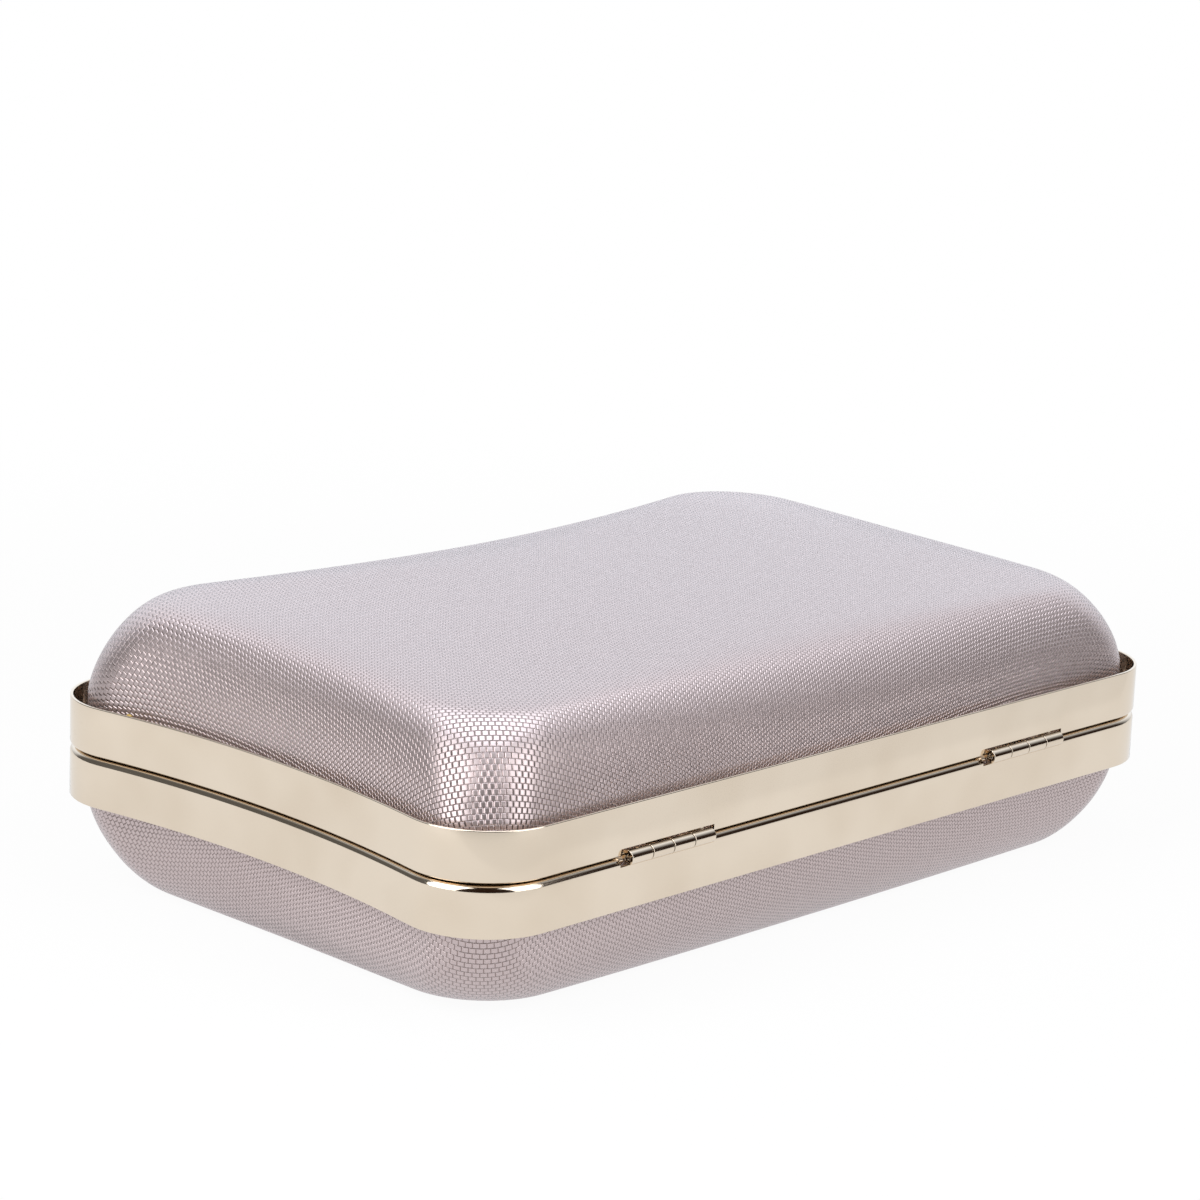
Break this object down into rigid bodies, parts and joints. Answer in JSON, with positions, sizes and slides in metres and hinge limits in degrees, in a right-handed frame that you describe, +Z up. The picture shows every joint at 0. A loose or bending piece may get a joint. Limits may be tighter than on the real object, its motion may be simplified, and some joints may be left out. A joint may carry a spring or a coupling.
{
  "type": "clutch",
  "caption": "Hard-shell box clutch with two domed covers in polished metal frames, rear hinges, a press clasp and a lined inside with a slip pocket.",
  "frame": {"origin": "centre of the footprint, on the surface that the clutch lies on", "axes": "+X along the case, +Y towards the hinges, +Z up through the lid"},
  "size_m": [0.1996, 0.1279, 0.0587],
  "materials": {
    "cover": "embossed, coated with a pale rose metallic",
    "gold": "polished pale gold plating",
    "steel": "bright nickel plating",
    "shell": "plain moulded",
    "lining": "satin",
    "binding": "folded satin tape"
  },
  "bodies": {
    "base": {"base_frame": "gold", "base_cover": "cover", "base_shell": "shell", "base_lining": "lining", "left_hinge_base_leaf": "gold", "right_hinge_base_leaf": "gold", "left_hinge_base_rivet_1": "steel", "left_hinge_base_rivet_2": "steel", "right_hinge_base_rivet_1": "steel", "right_hinge_base_rivet_2": "steel", "left_hinge_pin": "steel", "right_hinge_pin": "steel"},
    "lid": {"lid_frame": "gold", "lid_cover": "cover", "lid_shell": "shell", "lid_lining": "lining", "slip_pocket": "lining", "pocket_binding": "binding", "left_hinge_lid_leaf": "gold", "right_hinge_lid_leaf": "gold", "left_hinge_lid_rivet_1": "steel", "left_hinge_lid_rivet_2": "steel", "right_hinge_lid_rivet_1": "steel", "right_hinge_lid_rivet_2": "steel", "button_collar": "gold", "latch_hook": "steel"},
    "button": {"push_button": "gold"}
  },
  "joints": [
    {"name": "lid_swing", "type": "hinge", "parent": "base", "child": "lid", "pos_m": [0, 0.06258, 0.0288], "axis": [-1, 0, 0], "range_deg": [0, 105], "deforming": ["latch_hook"]},
    {"name": "button_press", "type": "slide", "parent": "lid", "child": "button", "axis": [0, 1, 0], "range_m": [0, 0.0011], "stiffness_N_per_m": 800, "deforming": ["latch_hook"]}
  ]
}
